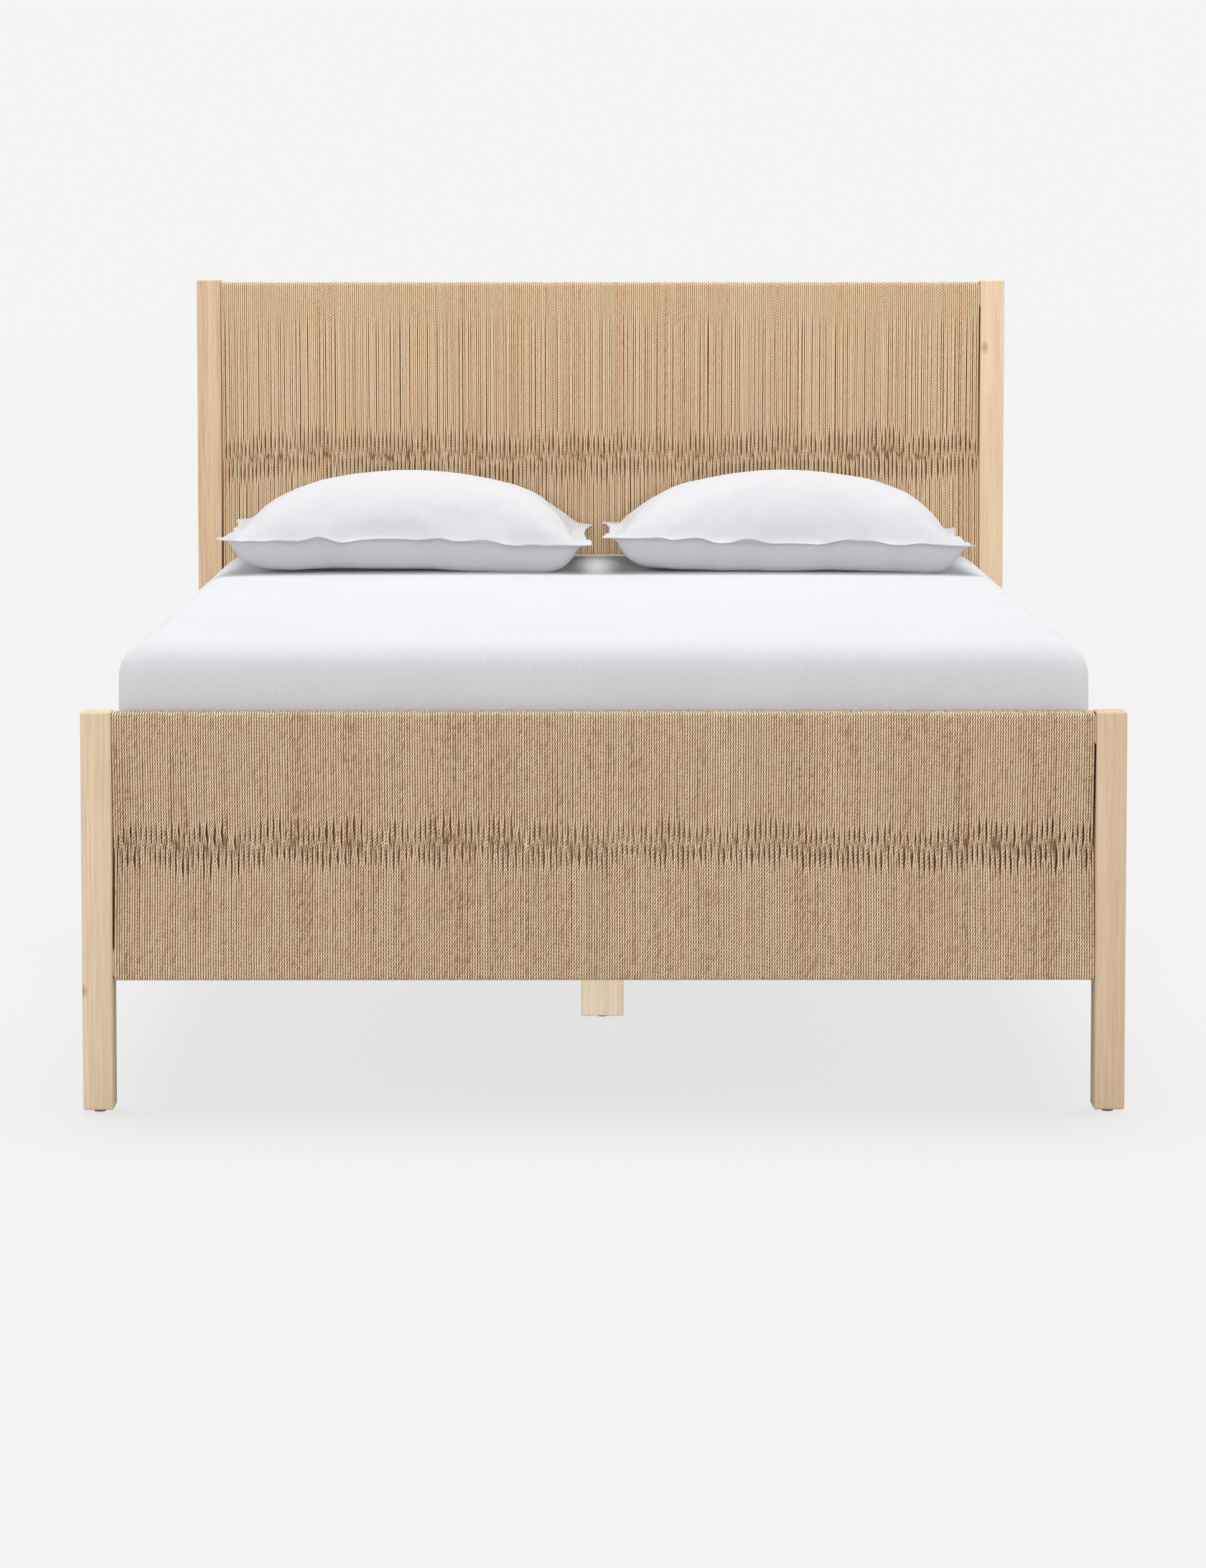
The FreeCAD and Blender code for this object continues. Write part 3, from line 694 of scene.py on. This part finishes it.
def eased(sheet, rounds):
    """A grid of points with each one drawn to the middle of its neighbours, a number of times."""
    for _ in range(rounds):
        wide = np.pad(sheet, ((1, 1), (1, 1), (0, 0)), mode="reflect", reflect_type="odd")
        middle = (wide[:-2, 1:-1] + wide[2:, 1:-1] + wide[1:-1, :-2] + wide[1:-1, 2:]) / 4
        sheet = (sheet + middle) / 2
    return sheet


def tops_under(bed, sheet, above):
    """Height of a piece's top under each point of a grid."""
    view = bpy.context.evaluated_depsgraph_get()
    found = np.empty(sheet.shape[:2])
    for place in np.ndindex(found.shape):
        hit, point, _, _ = bed.ray_cast((*sheet[place][:2], above), (0, 0, -1), depsgraph=view)
        found[place] = point[2] if hit else -1.0
    return found


def pillow(name, bed, seed, droops, material):
    """Flanged pillow. droops are how far its flange hangs at its left, middle and right."""
    low, high = (np.array(corner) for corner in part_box(name))
    upper, lower, edge = filled_pillow(name, seed)
    size = upper.max(axis=(0, 1)) - upper.min(axis=(0, 1))
    folds = [(sheet - eased(sheet, PILLOW_EASE)) * ((high - low)[0] / size[0]) for sheet in (upper, lower)]

    # Filled form: the seam is drawn in at the middle of each side, and the body swells inside it
    i, j = np.indices(edge.shape)
    u = np.clip((i - PILLOW_RIM) / (PILLOW_COLUMNS / 2 - PILLOW_RIM) - 1, -1, 1)
    v = np.clip((j - PILLOW_RIM) / (PILLOW_ROWS / 2 - PILLOW_RIM) - 1, -1, 1)
    out = np.clip(1 - edge / PILLOW_RIM, 0, 1)
    half = (high - low)[:2] / 2 - PILLOW_FLANGE
    x = u * (half[0] - PILLOW_DRAW * (1 - v * v)) + np.sign(u) * out * (np.abs(u) == 1) * PILLOW_FLANGE
    y = v * (half[1] - PILLOW_DRAW * (1 - u * u)) + np.sign(v) * out * (np.abs(v) == 1) * PILLOW_FLANGE
    long, wide = (1 - u * u) ** PILLOW_PLUMP, (1 - v * v) ** PILLOW_PLUMP
    level = low[2] + PILLOW_SAG
    place = np.stack([x + (low + high)[0] / 2, y + (low + high)[1] / 2], axis=2)
    upper = np.concatenate([place, ((high[2] - level) * long * wide)[..., None]], axis=2)
    rest = level - tops_under(bed, upper, high[2]) - REST_GAP
    rest = np.clip(rest, PILLOW_SAG, PILLOW_SAG + PILLOW_SINK)
    depth = PILLOW_FULL * PILLOW_SAG
    for side, flat in ((long, PILLOW_FLAT[0]), (wide, PILLOW_FLAT[1])):
        depth = depth * side / (flat ** PILLOW_BLUNT + side ** PILLOW_BLUNT) ** (1 / PILLOW_BLUNT)
    lower = np.concatenate([place, -depth[..., None]], axis=2)

    # Folds of the cloth, less of them on the flange, and the underside pressed on the bed
    body = smooth_step((edge - PILLOW_RIM) / PILLOW_FOLD_ROWS)
    for sheet, fold in zip((upper, lower), folds):
        sheet += fold * (PILLOW_CALM + (PILLOW_FOLDS - PILLOW_CALM) * body)[..., None]
    depth = np.maximum(-lower[..., 2], 0)
    pressed = depth / (1 + (depth / rest) ** PILLOW_FIRM) ** (1 / PILLOW_FIRM)
    lower[..., 2] = np.where(lower[..., 2] < 0, -pressed, lower[..., 2])
    lower[edge <= PILLOW_RIM] = upper[edge <= PILLOW_RIM]
    between = (upper[..., 2] + lower[..., 2]) / 2
    apart = np.maximum((upper - lower)[..., 2], PILLOW_CLOTH) / 2 * (edge > PILLOW_RIM)
    upper[..., 2], lower[..., 2] = between + apart, between - apart

    # The flange droops, by different amounts from left to right
    across = (u + 1) / 2
    wave = np.sin(PILLOW_WAVES[0] * across + PILLOW_WAVES[1] * v + seed)
    hang = np.interp(across, (0, 0.5, 1), droops) + PILLOW_WAVE * wave
    near = np.clip(1 - (edge - PILLOW_RIM) / PILLOW_DROOP_ROWS, 0, 1)
    for sheet in (upper, lower):
        sheet[..., 2] += level - hang * smooth_step(near)

    # The flange gets the thickness of its cloth, and a hem closes it
    normal = np.cross(np.gradient(upper, axis=0), np.gradient(upper, axis=1))
    normal /= np.linalg.norm(normal, axis=2)[..., None]
    flange = (edge <= PILLOW_RIM)[..., None]
    upper = upper + flange * normal * PILLOW_CLOTH / 2
    lower = lower - flange * normal * PILLOW_CLOTH / 2
    index = np.arange(edge.size).reshape(edge.shape)
    ring = np.concatenate([index[:-1, 0], index[-1, :-1], index[:0:-1, -1], index[0, :0:-1]])
    following = np.roll(ring, -1)
    hem = np.stack([following, ring, ring + edge.size, following + edge.size], axis=1)
    faces = np.concatenate([grid_faces(index), grid_faces(index + edge.size, True), hem])
    points = np.concatenate([upper.reshape(-1, 3), lower.reshape(-1, 3)])
    piece = mesh_object(name + "_cover", points, faces)
    piece.data.materials.append(material)
    smoothed(piece)
    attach(piece, name)
    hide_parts(name)


# The head cord's colours and paleness are higher than the foot cord's: painted light for the stronger light
# on the headboard above the white mattress
FOOT_TONES = (srgb(180, 142, 102), srgb(239, 207, 170), srgb(255, 226, 188), srgb(255, 240, 206))
HEAD_TONES = (srgb(206, 158, 110), srgb(250, 210, 167), srgb(255, 225, 184), srgb(255, 238, 202))
foot_cord = cord_material("foot_cord", FOOT_TONES, srgb(86, 60, 40), srgb(142, 105, 71))
head_cord = cord_material("head_cord", HEAD_TONES, srgb(130, 85, 50), srgb(136, 95, 61))
corded_panel(
    "foot_cord", "foot_cord_winding", FRONT, FOOT_CORD, FOOT_GATHER, FOOT_UNEVEN,
    paleness=0.52, streaks=0.5, seed=11, material=foot_cord,
)
corded_panel(
    "head_cord", "head_cord_winding", BACK, HEAD_CORD, HEAD_GATHER, HEAD_UNEVEN,
    paleness=0.82, streaks=1.1, seed=23, material=head_cord,
)

POST_TONES = {
    "foot_post_left": (srgb(212, 190, 161), srgb(197, 172, 141)),
    "foot_post_right": (srgb(200, 176, 148), srgb(185, 158, 127)),
    "head_post_left": (srgb(210, 181, 149), srgb(195, 163, 127)),
    "head_post_right": (srgb(220, 195, 163), srgb(203, 175, 141)),
}
# The centre leg's tones are paler than the rest of the wood: painted light that makes up for the shade it
# stands in under the foot panel
LEG_TONES = (srgb(255, 240, 214), srgb(250, 227, 197))
RAIL_TONES = (srgb(212, 189, 160), srgb(196, 170, 138))
DECK_TONES = (srgb(216, 193, 160), srgb(198, 169, 132))
POST_KNOTS = (((0.781, 1.028, 1.159), 0.008), ((-0.818, -1.079, 0.195), 0.007))

sheeting = fabric_material("mattress_cloth", srgb(195, 196, 199), period=0.0042)
pillow_cloth = fabric_material("pillow_cloth", srgb(191, 191, 194), period=0.0030)
bed = mattress(sheeting)
pillow("pillow_left", bed, seed=5, droops=(-0.004, 0.0, 0.006), material=pillow_cloth)
pillow("pillow_right", bed, seed=9, droops=(-0.003, 0.002, 0.012), material=pillow_cloth)

finishes = {
    "leg": wood_material("centre_leg_wood", Z_AXIS, LEG_TONES, staves=0.0125),
    "long": wood_material("long_rail_wood", Y_AXIS, RAIL_TONES),
    "cross": wood_material("cross_rail_wood", X_AXIS, RAIL_TONES),
    "slat": wood_material("slat_wood", X_AXIS, DECK_TONES),
    "deck": wood_material("deck_rail_wood", Y_AXIS, DECK_TONES),
    "steel": metal_material("zinc_steel", srgb(205, 207, 210), roughness=0.38),
    "brass": metal_material("insert_brass", srgb(214, 180, 112), roughness=0.34),
    "plastic": plastic_material("leveller_plastic", srgb(80, 68, 54)),
}
for name, tones in POST_TONES.items():
    finishes[name] = wood_material(name + "_wood", Z_AXIS, tones, POST_KNOTS)
NODE_FINISHES = (
    ("leveller_inserts", "brass"),
    ("leveller", "plastic"),
    ("slat", "slat"),
    ("side_rail", "long"),
    ("ledger", "deck"),
    ("centre_beam", "deck"),
    ("centre_leg_plate", "steel"),
    ("centre_leg", "leg"),
)
for name, node in nodes.items():
    finish = name if name in POST_TONES else "cross"
    if "plate" in name or "bracket" in name:
        finish = "steel"
    for start, chosen in NODE_FINISHES:
        if name.startswith(start):
            finish = chosen
            break
    node.data.materials.clear()
    node.data.materials.append(finishes[finish])


# Stage, light and camera

def lamp(name, direction, strength, angle):
    """Soft distant light that shines from a direction."""
    data = bpy.data.lights.new(name, "SUN")
    data.energy = strength
    data.angle = math.radians(angle)
    made = bpy.data.objects.new(name, data)
    made.rotation_euler = Vector(direction).to_track_quat("Z", "Y").to_euler()
    bpy.context.scene.collection.objects.link(made)


def overhead_light(place, size, power):
    """Wide soft box that hangs over the bed."""
    data = bpy.data.lights.new("overhead_light", "AREA")
    data.energy = power
    data.shape = "RECTANGLE"
    data.size, data.size_y = size
    made = bpy.data.objects.new("overhead_light", data)
    made.location = place
    made.visible_camera = False
    bpy.context.scene.collection.objects.link(made)


def backdrop_world(light, shown):
    """Even white surroundings: one level for lighting, another for what the camera and mirrors see."""
    world = bpy.data.worlds.new("surroundings")
    bpy.context.scene.world = world
    world.use_nodes = True
    tree = world.node_tree
    back = tree.nodes["Background"]
    back.inputs["Color"].default_value = (1, 1, 1, 1)
    path = tree.nodes.new("ShaderNodeLightPath")
    seen = tree.nodes.new("ShaderNodeMath")
    seen.operation = "MAXIMUM"
    tree.links.new(path.outputs["Is Camera Ray"], seen.inputs[0])
    tree.links.new(path.outputs["Is Glossy Ray"], seen.inputs[1])
    level = tree.nodes.new("ShaderNodeMapRange")
    tree.links.new(seen.outputs[0], level.inputs["Value"])
    level.inputs["To Min"].default_value = light
    level.inputs["To Max"].default_value = shown
    tree.links.new(level.outputs["Result"], back.inputs["Strength"])


def floor(colour, shown, kept_shadow):
    """Wide pale floor. The camera sees mostly an even tone, with part of the real shadow."""
    mesh = bpy.data.meshes.new("floor")
    corners = [(FLOOR_REACH * x, FLOOR_REACH * y, 0) for x, y in ((-1, -1), (1, -1), (1, 1), (-1, 1))]
    mesh.from_pydata(corners, [], [(0, 1, 2, 3)])
    made = bpy.data.objects.new("floor", mesh)
    bpy.context.scene.collection.objects.link(made)
    tree = Tree("floor")
    tree.finish(Base_Color=(*colour, 1.0), Roughness=0.9)
    tones = tree.add("Emission", {"Color": (1, 1, 1, 1), "Strength": shown})
    path = tree.add("LightPath")
    seen = tree.math("MAXIMUM", path.outputs["Is Camera Ray"], path.outputs["Is Glossy Ray"])
    share = tree.math("MULTIPLY", seen, 1 - kept_shadow)
    both = tree.add("MixShader", {0: share, 1: tree.shader.outputs[0], 2: tones.outputs[0]})
    tree.tree.links.new(both.outputs[0], tree.tree.nodes["Material Output"].inputs["Surface"])
    mesh.materials.append(tree.material)


def camera():
    """Camera that sees the bed as the photo does, from in front of its foot and a little above."""
    data = bpy.data.cameras.new("camera")
    data.lens = 101.47
    data.sensor_width = 36.0
    data.shift_y = -0.15
    data.clip_end = 200.0
    made = bpy.data.objects.new("camera", data)
    made.location = (-0.0219, -7.9665, 1.3594)
    made.rotation_euler = (math.radians(90 - 3.884), 0, math.radians(-0.170))
    bpy.context.scene.collection.objects.link(made)
    bpy.context.scene.camera = made


camera()
backdrop_world(light=0.36, shown=0.905)
floor(srgb(190, 190, 190), shown=0.919, kept_shadow=0.2)
overhead_light(place=(0.0, 0.2, 2.7), size=(2.2, 1.6), power=8.0)
lamp("top_light", (0.0, 0.3, 1.0), strength=2.75, angle=45)
lamp("left_light", (-1.0, 0.0, 0.3), strength=1.2, angle=60)
lamp("right_light", (1.0, 0.0, 0.3), strength=1.2, angle=60)
lamp("front_light", (0.0, -1.0, 0.08), strength=1.62, angle=10)
bpy.context.scene.view_settings.view_transform = "Standard"
